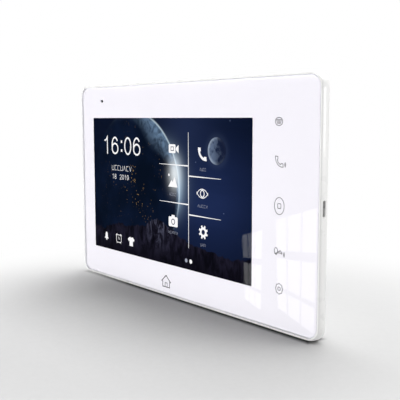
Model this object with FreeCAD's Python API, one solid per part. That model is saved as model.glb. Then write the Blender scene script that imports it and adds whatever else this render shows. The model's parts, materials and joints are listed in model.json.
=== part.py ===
import FreeCAD, Part
import math
import os

from FreeCAD import Vector

# Seven-inch hands-free video intercom monitor with its steel wall bracket.
# Millimetres.  +X is to the viewer's right, +Z is up and the screen faces -Y.
# The origin is the centre of the bracket's back face, on the wall (Y = 0).

# Overall housing
WIDTH, HEIGHT = 215.2, 127.0
CORNER_R = 7.6
FRONT_Y = -17.0           # outer face of the cover glass
SPLIT_Y = -12.2           # rear edge of the front frame, where the rear cover starts
BACK_Y = -1.5             # flat back of the rear cover, clear of the wall
WALL_T = 1.5              # frame side wall
COVER_T = 1.8             # rear cover wall
RIM_IN, RIM_DEEP = 0.75, 3.0   # the rim rolls from its lip to the side wall over this depth
RIM_STEPS = 6
FRAME_BEVEL = 0.4         # round the frame's rear edge

# Cover glass and the stack behind it
GLASS_W, GLASS_H, GLASS_T = 212.5, 123.9, 0.8
GLASS_R = 6.2
SEAT_GAP = 0.1            # groove between the glass and the rim, each side
PRINT_GAP = 0.05
PRINT_T = 0.1
ADHESIVE_T = 0.4
LEDGE_T = 1.4
GLASS_BACK_Y = FRONT_Y + GLASS_T
PRINT_Y = GLASS_BACK_Y + PRINT_GAP
ADHESIVE_Y = PRINT_Y + PRINT_T
LEDGE_Y = ADHESIVE_Y + ADHESIVE_T
LEDGE_BACK_Y = LEDGE_Y + LEDGE_T

# Visible window in the white print, and the display module behind it
VIEW_X, VIEW_Z = (-92.9, 61.2), (-44.2, 42.15)
LCD_X, LCD_Z = (-98.55, 65.65), (-52.0, 47.0)
LCD_FRONT_Y, LCD_BACK_Y = -15.85, -12.2
LCD_SHEET = 0.2           # thickness of the stamped bezel
PANEL_T = 1.2
FLEX_X = (-30.0, 0.0)

# Microphone, touch keys and power switch
MIC_X, MIC_Z = -81.3, 53.0
KEY_X = 80.5
KEY_Z = (40.7, 21.6, -0.3, -22.2, -41.3)
TOUCH_BOARD_W, TOUCH_BOARD_H = 14.0, 98.0
ELECTRODE_R = 5.0
SWITCH_Z, SWITCH_Y = 0.5, -14.75
SWITCH_TRAVEL = 3.5
KNOB_L, KNOB_W = 3.4, 1.3
SLOT_L, SLOT_W = KNOB_L + SWITCH_TRAVEL + 0.9, 1.7
CAN_X, CAN_Y = (101.5, 105.6), (-15.6, -13.4)
CAN_HALF = 6.0            # half the length of the switch's can
CAN_SHEET = 0.25

# Main board
BOARD_X, BOARD_Z = (-60.0, 60.0), (-57.0, 55.0)
BOARD_FRONT_Y, BOARD_T = -11.3, 1.6
BOARD_BACK_Y = BOARD_FRONT_Y + BOARD_T
BOARD_SCREWS = [(-50.0, 50.5), (50.0, 50.5), (-50.0, -54.4), (50.0, -54.4)]
CASE_SCREWS = [(-99.0, 56.0), (99.0, 56.0), (-99.0, -56.0), (99.0, -56.0)]
CASE_SEAT_Y = -9.8        # floor of the counterbores in the rear cover
CASE_TIP_Y = -14.6        # tips of the case screws
CLAMPS = [(-101.0, 22.0, 1), (-101.0, -22.0, 1), (68.3, 20.0, -1), (68.3, -20.0, -1)]

# Wall-box headers: name, centre x, centre z and number of contacts
HEADERS = [("header_door_1", -11.0, 5.0, 4), ("header_door_2", 11.0, 5.0, 4),
           ("header_monitor_link", -11.0, -3.0, 4), ("header_power", 11.0, -3.0, 2)]
PIN_PITCH = 2.5
HEADER_D, HEADER_TALL = 5.8, 6.6
HEADER_WALL = 0.8

# Speaker, firing through the back
SPEAKER_X, SPEAKER_Z = 83.4, -22.0
SPEAKER_W, SPEAKER_H = 20.0, 40.0
SPEAKER_FACE_Y = -5.0
SPEAKER_SCREW = 22.3      # from the speaker's centre to each of its screws

# Rear cover: outer skin, pocket for the bracket, connector window and hook slots
EDGE_STEP = 0.9           # the cover is this much smaller than the frame, each side
EDGE_BAND = 0.2           # upright band before the skin slopes in
TAPER_IN, TAPER_Y = 8.0, -3.6
FLAT_IN = 13.0            # where the flat back starts, measured in from the frame's side
ARC_STEPS = 5
LABEL_X, LABEL_Z = (-91.0, -60.0), (-12.0, 12.0)
PAD_X, PAD_Z, PAD_R = 86.0, 43.0, 4.0
POCKET_X, POCKET_Z = (-52.0, 52.0), (-45.0, 39.0)
POCKET_Y = -4.2
POCKET_FLOOR_T = 1.8
WINDOW_X, WINDOW_Z = (-20.0, 20.0), (-17.0, 10.0)

# Wall bracket
BRACKET_W, BRACKET_H, BRACKET_T = 104.0, 76.0, 1.2
CABLE_W, CABLE_H = 48.0, 36.0
WALL_SCREW_X, WALL_SCREW_Z, WALL_SCREW_R = 45.0, 30.0, 2.2
BOX_SCREW_X, BOX_SCREW_R = 30.0, 2.1
HOOK_X, HOOK_W = 34.0, 10.0
HOOK_TOPS = (24.0, -24.0)
TONGUE_H = 5.0
LIFT = 6.5                # upward travel that frees the hooks
RUN_GAP = 0.3             # clearance between the hooks and the cover


def block(x0, x1, y0, y1, z0, z1):
    return Part.makeBox(x1 - x0, y1 - y0, z1 - z0, Vector(x0, y0, z0))


def disc(x, z, radius, y0, y1):
    return Part.makeCylinder(radius, y1 - y0, Vector(x, y0, z), Vector(0, 1, 0))


def rounded_wire(width, height, radius, y, cx=0.0, cz=0.0):
    """Rounded rectangle in a plane of constant Y."""
    half_w, half_h = width / 2, height / 2
    edges = []
    corners = [(1, 1, 0), (-1, 1, 90), (-1, -1, 180), (1, -1, 270)]
    points = []
    for sx, sz, start in corners:
        ox = cx + sx * (half_w - radius)
        oz = cz + sz * (half_h - radius)
        arc = []
        for turn in (0, 45, 90):
            angle = math.radians(start + turn)
            arc.append(Vector(ox + radius * math.cos(angle), y, oz + radius * math.sin(angle)))
        points.append(arc)
    for index, arc in enumerate(points):
        edges.append(Part.Arc(arc[0], arc[1], arc[2]).toShape())
        edges.append(Part.LineSegment(arc[2], points[(index + 1) % 4][0]).toShape())
    return Part.Wire(edges)


def slab(width, height, radius, y0, y1, cx=0.0, cz=0.0):
    face = Part.Face(rounded_wire(width, height, radius, y0, cx, cz))
    return face.extrude(Vector(0, y1 - y0, 0))


def plate(x_span, z_span, radius, y0, y1):
    """Rounded slab given by its X and Z spans."""
    return slab(x_span[1] - x_span[0], z_span[1] - z_span[0], radius, y0, y1,
                sum(x_span) / 2, sum(z_span) / 2)


def grown(span, amount):
    return (span[0] - amount, span[1] + amount)


def outline_edges(shape, y):
    """Edges that lie in the plane of constant Y."""
    return [edge for edge in shape.Edges
            if abs(edge.BoundBox.YMin - y) < 1e-4 and abs(edge.BoundBox.YMax - y) < 1e-4]


def edges_along_x(shape):
    return [edge for edge in shape.Edges
            if edge.BoundBox.YLength < 1e-4 and edge.BoundBox.ZLength < 1e-4]


def tube(points, radius, bend):
    """Round wire along straight runs joined by tangent arcs."""
    corners = [Vector(*p) for p in points]
    edges = []
    start = corners[0]
    for before, corner, after in zip(corners, corners[1:], corners[2:]):
        into = (corner - before).normalize()
        away = (after - corner).normalize()
        turn = into.getAngle(away)
        reach = bend * math.tan(turn / 2)
        first = corner - into * reach
        last = corner + away * reach
        inward = (away - into).normalize()
        middle = corner + inward * (bend / math.cos(turn / 2) - bend)
        edges.append(Part.LineSegment(start, first).toShape())
        edges.append(Part.Arc(first, middle, last).toShape())
        start = last
    edges.append(Part.LineSegment(start, corners[-1]).toShape())
    profile = Part.Wire(Part.makeCircle(radius, corners[0], corners[1] - corners[0]))
    return Part.Wire(edges).makePipeShell([profile], True, False)


def screw(x, z, seat_y, tip_y, shank_r, head_r, head_t):
    """Pan-head screw driven from behind, with a cross recess."""
    body = disc(x, z, shank_r, tip_y, seat_y).fuse(disc(x, z, head_r, seat_y, seat_y + head_t))
    arm, depth = head_r * 0.6, head_t * 0.5
    top = seat_y + head_t
    body = body.cut(block(x - arm, x + arm, top - depth, top + 1, z - 0.25, z + 0.25))
    body = body.cut(block(x - 0.25, x + 0.25, top - depth, top + 1, z - arm, z + arm))
    return body.removeSplitter()


def save(name, shape):
    shape.exportStep("parts/" + name + ".step")
    print(name, len(shape.Solids), round(shape.Volume, 2), shape.isValid())


# ---------------------------------------------------------------- wall side

def make_wall_bracket():
    """Steel plate with four hooks cut from it and folded forwards, then up."""
    body = slab(BRACKET_W, BRACKET_H, 4.0, -BRACKET_T, 0)
    body = body.cut(slab(CABLE_W, CABLE_H, 3.0, -BRACKET_T - 1, 1))
    for sx in (-1, 1):
        body = body.cut(disc(sx * BOX_SCREW_X, 0, BOX_SCREW_R, -BRACKET_T - 1, 1))
        for sz in (-1, 1):
            body = body.cut(disc(sx * WALL_SCREW_X, sz * WALL_SCREW_Z, WALL_SCREW_R,
                                 -BRACKET_T - 1, 1))
    tongue_y = POCKET_Y - POCKET_FLOOR_T - RUN_GAP
    blank = abs(tongue_y) - BRACKET_T + TONGUE_H
    for sx in (-1, 1):
        x0, x1 = sx * HOOK_X - HOOK_W / 2, sx * HOOK_X + HOOK_W / 2
        for top in HOOK_TOPS:
            body = body.cut(block(x0 - 0.2, x1 + 0.2, -BRACKET_T - 1, 1, top, top + blank))
            hook = block(x0, x1, tongue_y - BRACKET_T, 0, top - BRACKET_T, top)
            hook = hook.fuse(block(x0, x1, tongue_y - BRACKET_T, tongue_y, top - BRACKET_T,
                                   top + TONGUE_H))
            outer_bend = [edge for edge in edges_along_x(hook)
                          if abs(edge.BoundBox.YMin - (tongue_y - BRACKET_T)) < 1e-4
                          and abs(edge.BoundBox.ZMin - (top - BRACKET_T)) < 1e-4]
            body = body.fuse(hook.makeFillet(1.0, outer_bend))
    return body.removeSplitter()


# ---------------------------------------------------------------- front stack

def make_cover_glass():
    body = slab(GLASS_W, GLASS_H, GLASS_R, FRONT_Y, GLASS_BACK_Y)
    body = body.makeChamfer(0.3, outline_edges(body, FRONT_Y))
    return body.cut(disc(MIC_X, MIC_Z, 0.7, FRONT_Y - 1, GLASS_BACK_Y + 1))


def make_glass_print():
    """White printed film behind the glass, open over the display."""
    body = slab(GLASS_W - 0.4, GLASS_H - 0.4, GLASS_R - 0.2, PRINT_Y, ADHESIVE_Y)
    body = body.cut(plate(VIEW_X, VIEW_Z, 0.4, PRINT_Y - 1, ADHESIVE_Y + 1))
    return body.cut(disc(MIC_X, MIC_Z, 0.8, PRINT_Y - 1, ADHESIVE_Y + 1))


def ledge_openings(y0, y1):
    """What passes through the ledge: display, flex, touch board and cable, microphone, switch."""
    room = plate(grown(LCD_X, 0.4), grown(LCD_Z, 0.4), 1.0, y0, y1)
    room = room.fuse(block(FLEX_X[0] - 1, FLEX_X[1] + 1, y0, y1, LCD_Z[0] - 1.6, LCD_Z[0]))
    room = room.fuse(slab(TOUCH_BOARD_W + 2, TOUCH_BOARD_H + 2, 1.5, y0, y1, KEY_X))
    room = room.fuse(block(66.5, KEY_X - 7, y0, y1, 1, 11))
    room = room.fuse(disc(MIC_X, MIC_Z, 4.4, y0, y1))
    return room.fuse(block(97.5, WIDTH / 2 - WALL_T, y0, y1, SWITCH_Z - 9, SWITCH_Z + 9))


def make_glass_adhesive():
    body = slab(GLASS_W - 1.0, GLASS_H - 1.0, GLASS_R - 0.5, ADHESIVE_Y, LEDGE_Y)
    return body.cut(ledge_openings(ADHESIVE_Y - 1, LEDGE_Y + 1))


def frame_form():
    """Solid of the frame's outline, rolled over at the front and bevelled at the back."""
    rings = []
    for index in range(RIM_STEPS + 1):
        turn = math.radians(90 * index / RIM_STEPS)
        rings.append((RIM_IN * (1 - math.sin(turn)),
                      FRONT_Y + 0.05 + RIM_DEEP * (1 - math.cos(turn))))
    rings += [(0.0, SPLIT_Y - FRAME_BEVEL), (FRAME_BEVEL, SPLIT_Y)]
    return Part.makeLoft([rounded_wire(WIDTH - 2 * inset, HEIGHT - 2 * inset, CORNER_R - inset, y)
                          for inset, y in rings], True, True)


def make_front_frame():
    """Moulded frame: rim round the glass, glued ledge, side wall and screw bosses."""
    body = frame_form()
    seat_w, seat_h = GLASS_W + 2 * SEAT_GAP, GLASS_H + 2 * SEAT_GAP
    body = body.cut(slab(seat_w, seat_h, GLASS_R + SEAT_GAP, FRONT_Y - 1, LEDGE_Y))
    body = body.cut(slab(WIDTH - 2 * WALL_T, HEIGHT - 2 * WALL_T, CORNER_R - WALL_T,
                         LEDGE_BACK_Y, SPLIT_Y + 1))
    body = body.cut(ledge_openings(LEDGE_Y - 1, LEDGE_BACK_Y + 1))
    for x, z in CASE_SCREWS:
        body = body.fuse(disc(x, z, 2.8, LEDGE_BACK_Y, SPLIT_Y - 0.4))
    for x, z in BOARD_SCREWS:
        body = body.fuse(disc(x, z, 2.0, LEDGE_BACK_Y, BOARD_FRONT_Y))
    for x, z, _ in CLAMPS:
        body = body.fuse(disc(x, z, 1.7, LEDGE_BACK_Y, LCD_BACK_Y))
        body = body.cut(disc(x, z, 0.85, LEDGE_Y + 0.5, LCD_BACK_Y + 1))
    for x, z in CASE_SCREWS + BOARD_SCREWS:
        body = body.cut(disc(x, z, 1.3 if (x, z) in CASE_SCREWS else 0.95,
                             LEDGE_Y + 0.5, SPLIT_Y + 1))
    slot = block(WIDTH / 2 - WALL_T - 1, WIDTH / 2 + 1, SWITCH_Y - SLOT_W / 2,
                 SWITCH_Y + SLOT_W / 2, SWITCH_Z - SLOT_L / 2, SWITCH_Z + SLOT_L / 2)
    rounded = slot.makeFillet(SLOT_W / 2 - 0.05, edges_along_x(slot))
    return body.cut(rounded).removeSplitter()


# ---------------------------------------------------------------- display module

def make_lcd_gasket():
    body = plate(grown(LCD_X, -0.3), grown(LCD_Z, -0.3), 1.0, ADHESIVE_Y, LCD_FRONT_Y)
    return body.cut(plate(grown(VIEW_X, 1.6), grown(VIEW_Z, 1.2), 0.5,
                          ADHESIVE_Y - 1, LCD_FRONT_Y + 1))


def make_lcd_bezel():
    """Stamped steel tray with a front lip round the picture and a gap for the flex."""
    body = plate(LCD_X, LCD_Z, 0.8, LCD_FRONT_Y, LCD_BACK_Y)
    body = body.cut(plate(grown(LCD_X, -LCD_SHEET), grown(LCD_Z, -LCD_SHEET), 0.6,
                          LCD_FRONT_Y + LCD_SHEET, LCD_BACK_Y + 1))
    body = body.cut(plate(grown(VIEW_X, 1.2), grown(VIEW_Z, 0.9), 0.4,
                          LCD_FRONT_Y - 1, LCD_FRONT_Y + 1))
    return body.cut(block(FLEX_X[0] - 0.5, FLEX_X[1] + 0.5, LCD_FRONT_Y + 0.6, LCD_BACK_Y + 1,
                          LCD_Z[0] - 1, LCD_Z[0] + 1))


def make_lcd_panel():
    y0 = LCD_FRONT_Y + LCD_SHEET
    return plate(grown(LCD_X, -0.4), grown(LCD_Z, -0.4), 0.4, y0, y0 + PANEL_T)


def make_backlight():
    y0 = LCD_FRONT_Y + LCD_SHEET + PANEL_T
    body = plate(grown(LCD_X, -0.4), grown(LCD_Z, -0.4), 0.4, y0, LCD_BACK_Y)
    return body.cut(block(FLEX_X[0], FLEX_X[1], y0 - 1, y0 + 0.3, LCD_Z[0], LCD_Z[0] + 4))


def make_lcd_flex():
    """Ribbon from the panel's lower edge, folded behind the module to the board."""
    y0 = LCD_FRONT_Y + LCD_SHEET + PANEL_T
    x0, x1 = FLEX_X[0] + 1, FLEX_X[1] - 1
    low = LCD_Z[0] - 1.0
    front = block(x0, x1, y0, y0 + 0.15, low, LCD_Z[0] + 3.5)
    fold = block(x0, x1, y0, LCD_BACK_Y + 0.4, low, low + 0.15)
    back = block(x0, x1, LCD_BACK_Y + 0.25, LCD_BACK_Y + 0.4, low, LCD_Z[0] + 8)
    return front.fuse(fold).fuse(back).removeSplitter()


def make_panel_clamps():
    """Small steel straps that hold the module's edges down on the frame."""
    straps = []
    for x, z, side in CLAMPS:
        far = x + side * 6.0
        strap = block(min(x - side * 2.1, far), max(x - side * 2.1, far), LCD_BACK_Y + 0.05,
                      LCD_BACK_Y + 0.65, z - 4, z + 4)
        straps.append(strap.cut(disc(x, z, 0.95, LCD_BACK_Y - 1, LCD_BACK_Y + 2)))
    return Part.makeCompound(straps)


def make_clamp_screws():
    seat = LCD_BACK_Y + 0.65
    return Part.makeCompound([screw(x, z, seat, seat - 2.6, 0.8, 1.6, 0.9) for x, z, _ in CLAMPS])


# ---------------------------------------------------------------- electronics

def make_main_board():
    body = plate(BOARD_X, BOARD_Z, 1.5, BOARD_FRONT_Y, BOARD_BACK_Y)
    for x, z in BOARD_SCREWS:
        body = body.cut(disc(x, z, 1.1, BOARD_FRONT_Y - 1, BOARD_BACK_Y + 1))
    for x, z in header_pin_places():
        body = body.cut(disc(x, z, 0.5, BOARD_FRONT_Y - 1, BOARD_BACK_Y + 1))
    return body


def make_board_screws():
    return Part.makeCompound([screw(x, z, BOARD_BACK_Y, BOARD_BACK_Y - 3.4, 0.9, 1.9, 1.2)
                              for x, z in BOARD_SCREWS])


def chip(x, z, width, height, thick):
    """Moulded package with a pin-one dimple."""
    body = block(x - width / 2, x + width / 2, BOARD_BACK_Y, BOARD_BACK_Y + thick,
                 z - height / 2, z + height / 2)
    top = BOARD_BACK_Y + thick
    return body.cut(disc(x - width / 2 + 1.2, z + height / 2 - 1.2, 0.4, top - 0.1, top + 1))


def make_memory_chips():
    return Part.makeCompound([chip(x, 30, 9, 12, 1.1) for x in (-18, 18)])


def make_power_inductors():
    coils = []
    for x in (-41, -31):
        core = slab(7.5, 7.5, 1.8, BOARD_BACK_Y, BOARD_BACK_Y + 3.6, x, 47.5)
        core = core.cut(disc(x, 47.5, 2.6, BOARD_BACK_Y + 3.2, BOARD_BACK_Y + 5))
        coils.append(core)
    return Part.makeCompound(coils)


def make_capacitors():
    """Aluminium cans on square plastic bases."""
    cans = []
    for x, z in [(-20, 47), (-11, 47), (55, 30), (55, 20), (55, -35)]:
        base = slab(6.6, 6.6, 0.8, BOARD_BACK_Y, BOARD_BACK_Y + 0.9, x, z)
        can = disc(x, z, 3.1, BOARD_BACK_Y + 0.9, BOARD_BACK_Y + (5.3 if z > 40 else 3.3))
        cans.append(base.fuse(can))
    return Part.makeCompound(cans)


def make_clock_crystal():
    return slab(11, 4.4, 2.1, BOARD_BACK_Y, BOARD_BACK_Y + 3.2, 0, 16.5)


def make_battery_holder():
    body = slab(16.5, 13.5, 2.5, BOARD_BACK_Y, BOARD_BACK_Y + 2.8, 24, 46.5)
    return body.cut(disc(24, 46.5, 6.4, BOARD_BACK_Y + 0.6, BOARD_BACK_Y + 4))


def make_clock_battery():
    body = disc(24, 46.5, 6.25, BOARD_BACK_Y + 0.6, BOARD_BACK_Y + 2.6)
    return body.makeFillet(0.3, outline_edges(body, BOARD_BACK_Y + 2.6))


def make_key_connector():
    return block(54.5, 59.0, BOARD_BACK_Y, BOARD_BACK_Y + 1.1, 1.0, 11.0)


def header_pin_places():
    places = []
    for _, x, z, count in HEADERS:
        for index in range(count):
            places.append((x + (index - (count - 1) / 2) * PIN_PITCH, z))
    return places


def make_header(x, z, count):
    """Shrouded header with a key notch in its lower wall."""
    width = PIN_PITCH * (count - 1) + 4.9
    top = BOARD_BACK_Y + HEADER_TALL
    shell = slab(width, HEADER_D, 0.4, BOARD_BACK_Y, top, x, z)
    room = slab(width - 2 * HEADER_WALL, HEADER_D - 2 * HEADER_WALL, 0.2, BOARD_BACK_Y + 1.4,
                top + 1, x, z)
    shell = shell.cut(room)
    shell = shell.cut(block(x - 1, x + 1, BOARD_BACK_Y + 3, top + 1, z - HEADER_D, z - 2))
    for index in range(count):
        pin_x = x + (index - (count - 1) / 2) * PIN_PITCH
        shell = shell.cut(block(pin_x - 0.34, pin_x + 0.34, BOARD_BACK_Y - 1, top,
                                z - 0.34, z + 0.34))
    return shell


def make_header_pins():
    pins = []
    for x, z in header_pin_places():
        pins.append(block(x - 0.32, x + 0.32, BOARD_FRONT_Y - 0.5,
                          BOARD_BACK_Y + HEADER_TALL - 1.2, z - 0.32, z + 0.32))
    return Part.makeCompound(pins)


def make_touch_key_board():
    return slab(TOUCH_BOARD_W, TOUCH_BOARD_H, 1.0, ADHESIVE_Y + 0.1, ADHESIVE_Y + 0.9, KEY_X)


def make_touch_electrodes():
    return Part.makeCompound([disc(KEY_X, z, ELECTRODE_R, ADHESIVE_Y + 0.03, ADHESIVE_Y + 0.1)
                              for z in KEY_Z])


def make_key_cable():
    """Flat ribbon from the touch board, round the display's edge, to the main board."""
    y_front = ADHESIVE_Y + 0.9
    y_back = BOARD_BACK_Y + 1.1
    front = block(67.6, KEY_X - 3, y_front, y_front + 0.2, 2, 10)
    side = block(67.6, 67.8, y_front, y_back + 0.2, 2, 10)
    back = block(55.5, 67.8, y_back, y_back + 0.2, 2, 10)
    return front.fuse(side).fuse(back).removeSplitter()


# ---------------------------------------------------------------- sound

def make_speaker_frame():
    """Oblong basket with a flange, two screw ears and four windows."""
    flange_y = SPEAKER_FACE_Y - 0.8
    body = slab(SPEAKER_W, SPEAKER_H, 9.8, flange_y, SPEAKER_FACE_Y, SPEAKER_X, SPEAKER_Z)
    body = body.fuse(slab(7, SPEAKER_H + 10, 3.4, flange_y, SPEAKER_FACE_Y, SPEAKER_X, SPEAKER_Z))
    cup = Part.makeLoft([rounded_wire(17, 37, 8.4, flange_y, SPEAKER_X, SPEAKER_Z),
                         rounded_wire(13, 27, 6.4, flange_y - 3.4, SPEAKER_X, SPEAKER_Z)],
                        True, True)
    hollow = Part.makeLoft([rounded_wire(16, 36, 7.9, SPEAKER_FACE_Y + 0.1, SPEAKER_X, SPEAKER_Z),
                            rounded_wire(12, 26, 5.9, flange_y - 2.8, SPEAKER_X, SPEAKER_Z)],
                           True, True)
    body = body.fuse(cup).cut(hollow)
    body = body.cut(disc(SPEAKER_X, SPEAKER_Z, 5.0, flange_y - 5, flange_y))
    for side in (-1, 1):
        body = body.cut(disc(SPEAKER_X, SPEAKER_Z + side * SPEAKER_SCREW, 1.1, flange_y - 1, 0))
    return body


def make_speaker_magnet():
    y1 = SPEAKER_FACE_Y - 4.2
    body = disc(SPEAKER_X, SPEAKER_Z, 6.2, y1 - 3.2, y1)
    return body.makeFillet(0.5, outline_edges(body, y1 - 3.2))


def make_speaker_cone():
    """Paper cone with a small dust cap, closed underneath."""
    y1 = SPEAKER_FACE_Y - 0.9
    outer = Part.makeLoft([rounded_wire(14.4, 32.6, 7.1, y1, SPEAKER_X, SPEAKER_Z),
                           rounded_wire(9, 14, 4.4, y1 - 2.2, SPEAKER_X, SPEAKER_Z)], True, True)
    inner = Part.makeLoft([rounded_wire(13.8, 32.0, 6.8, y1 + 0.01, SPEAKER_X, SPEAKER_Z),
                           rounded_wire(8.4, 13.4, 4.1, y1 - 1.8, SPEAKER_X, SPEAKER_Z)],
                          True, True)
    cap = Part.makeSphere(3.6, Vector(SPEAKER_X, y1 - 3.6, SPEAKER_Z))
    cap = cap.common(block(SPEAKER_X - 5, SPEAKER_X + 5, y1 - 2.0, y1, SPEAKER_Z - 5,
                           SPEAKER_Z + 5))
    return outer.cut(inner).fuse(cap)


def make_speaker_gasket():
    y1 = BACK_Y - COVER_T
    body = slab(SPEAKER_W - 0.6, SPEAKER_H - 0.6, 9.4, SPEAKER_FACE_Y, y1, SPEAKER_X, SPEAKER_Z)
    return body.cut(slab(SPEAKER_W - 4.4, SPEAKER_H - 4.4, 7.6, SPEAKER_FACE_Y - 1, y1 + 1,
                         SPEAKER_X, SPEAKER_Z))


def speaker_screw_places():
    return [(SPEAKER_X, SPEAKER_Z + side * SPEAKER_SCREW) for side in (-1, 1)]


def make_speaker_screws():
    """Self-tapping screws driven from the front into the cover's bosses."""
    seat = SPEAKER_FACE_Y - 0.8
    screws = []
    for x, z in speaker_screw_places():
        body = disc(x, z, 1.0, seat, seat + 2.6).fuse(disc(x, z, 1.9, seat - 1.1, seat))
        screws.append(body.cut(block(x - 1.1, x + 1.1, seat - 2, seat - 0.6, z - 0.2, z + 0.2)))
    return Part.makeCompound(screws)


def make_speaker_wires():
    wires = []
    for z in (-14.0, -12.2):
        route = [(73.0, -7.5, z), (67.0, -7.5, z), (64.0, -8.7, z), (57.0, -8.9, z)]
        wires.append(tube(route, 0.5, 1.6))
    return Part.makeCompound(wires)


def make_microphone_boot():
    body = disc(MIC_X, MIC_Z, 4.2, ADHESIVE_Y + 0.02, -12.4)
    body = body.cut(disc(MIC_X, MIC_Z, 3.05, -15.0, -11))
    return body.cut(disc(MIC_X, MIC_Z, 0.8, ADHESIVE_Y - 1, -11))


def make_microphone():
    body = disc(MIC_X, MIC_Z, 3.0, -14.95, -12.7)
    return body.cut(disc(MIC_X, MIC_Z, 0.5, -15.5, -14.6))


def make_microphone_wires():
    wires = []
    for shift in (-0.7, 0.7):
        route = [(MIC_X, -12.65, MIC_Z + shift), (MIC_X, -9.2, MIC_Z + shift),
                 (-66.0, -8.9, MIC_Z + shift), (-57.0, -9.1, 50.5 + shift)]
        wires.append(tube(route, 0.4, 1.4))
    return Part.makeCompound(wires)


# ---------------------------------------------------------------- power switch

def make_switch_housing():
    """Folded steel can, open over the slider's neck."""
    body = block(*CAN_X, *CAN_Y, SWITCH_Z - CAN_HALF, SWITCH_Z + CAN_HALF)
    inside = (grown(CAN_X, -CAN_SHEET), grown(CAN_Y, -CAN_SHEET))
    body = body.cut(block(*inside[0], *inside[1], SWITCH_Z - CAN_HALF + CAN_SHEET,
                          SWITCH_Z + CAN_HALF - CAN_SHEET))
    reach = SLOT_L / 2 + 0.2
    return body.cut(block(CAN_X[1] - 1, CAN_X[1] + 1, SWITCH_Y - 0.6, SWITCH_Y + 0.6,
                          SWITCH_Z - reach, SWITCH_Z + reach))


def make_switch_slider():
    """Contact carrier inside the can, a neck through its slot and the finger nub outside."""
    z0 = SWITCH_Z + 0.1
    z1 = z0 + KNOB_L
    can_face = CAN_X[1]
    carrier = block(CAN_X[0] + 1.4, can_face - 0.5, SWITCH_Y - 0.5, SWITCH_Y + 0.5,
                    z0 - 0.6, z1 + 0.6)
    neck = block(can_face - 1.3, can_face + 0.6, SWITCH_Y - 0.4, SWITCH_Y + 0.4, z0, z1)
    nub = block(can_face + 0.2, WIDTH / 2 - 0.55, SWITCH_Y - KNOB_W / 2,
                SWITCH_Y + KNOB_W / 2, z0, z1)
    nub = nub.makeFillet(0.3, edges_along_x(nub))
    grip = block(WIDTH / 2 - 0.75, WIDTH / 2, SWITCH_Y - KNOB_W, SWITCH_Y + KNOB_W,
                 (z0 + z1) / 2 - 0.2, (z0 + z1) / 2 + 0.2)
    return carrier.fuse(neck).fuse(nub).cut(grip).removeSplitter()


def make_switch_board():
    return block(98.2, CAN_X[1] - 1.2, CAN_Y[1], CAN_Y[1] + 0.8, SWITCH_Z - 8, SWITCH_Z + 8)


def make_switch_wires():
    y0 = CAN_Y[1] + 0.8
    wires = []
    for z in (5.4, 7.2):
        route = [(99.4, y0, z), (99.4, -9.0, z), (97.2, -7.6, z), (72.0, -7.6, z + 6),
                 (57.0, -8.9, z + 6)]
        wires.append(tube(route, 0.4, 0.9))
    return Part.makeCompound(wires)


# ---------------------------------------------------------------- rear cover

def cover_profile():
    """Inset and Y of the cover's outer skin, from its front edge to the flat back."""
    band_y = SPLIT_Y + EDGE_BAND
    steps = [(EDGE_STEP, SPLIT_Y), (EDGE_STEP, band_y), (TAPER_IN, TAPER_Y)]
    slope = (TAPER_Y - band_y) / (TAPER_IN - EDGE_STEP)
    knee = TAPER_IN + (BACK_Y - TAPER_Y) / slope
    for index in range(1, ARC_STEPS + 1):
        t = index / ARC_STEPS
        inset = (1 - t) ** 2 * TAPER_IN + 2 * t * (1 - t) * knee + t * t * FLAT_IN
        depth = (1 - t) ** 2 * TAPER_Y + (1 - (1 - t) ** 2) * BACK_Y
        steps.append((inset, depth))
    return steps


def cover_form(inward, shift):
    """Solid of the cover's pillowed outline, moved inwards and towards the glass."""
    wires = []
    for inset, y in cover_profile():
        inset = inset + inward
        wires.append(rounded_wire(WIDTH - 2 * inset, HEIGHT - 2 * inset,
                                  CORNER_R + 0.45 * inset, y - shift))
    return Part.makeLoft(wires, True, True)


def hook_slots():
    """Slots that drop over the bracket's hooks; their upper edge rests on the hook's neck."""
    slots = []
    for sx in (-1, 1):
        for top in HOOK_TOPS:
            upper = top + RUN_GAP
            lower = top - BRACKET_T - LIFT - RUN_GAP
            slots.append(block(sx * HOOK_X - HOOK_W / 2 - RUN_GAP,
                               sx * HOOK_X + HOOK_W / 2 + RUN_GAP,
                               POCKET_Y - POCKET_FLOOR_T - 1, POCKET_Y + 1, lower, upper))
    return slots


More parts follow.
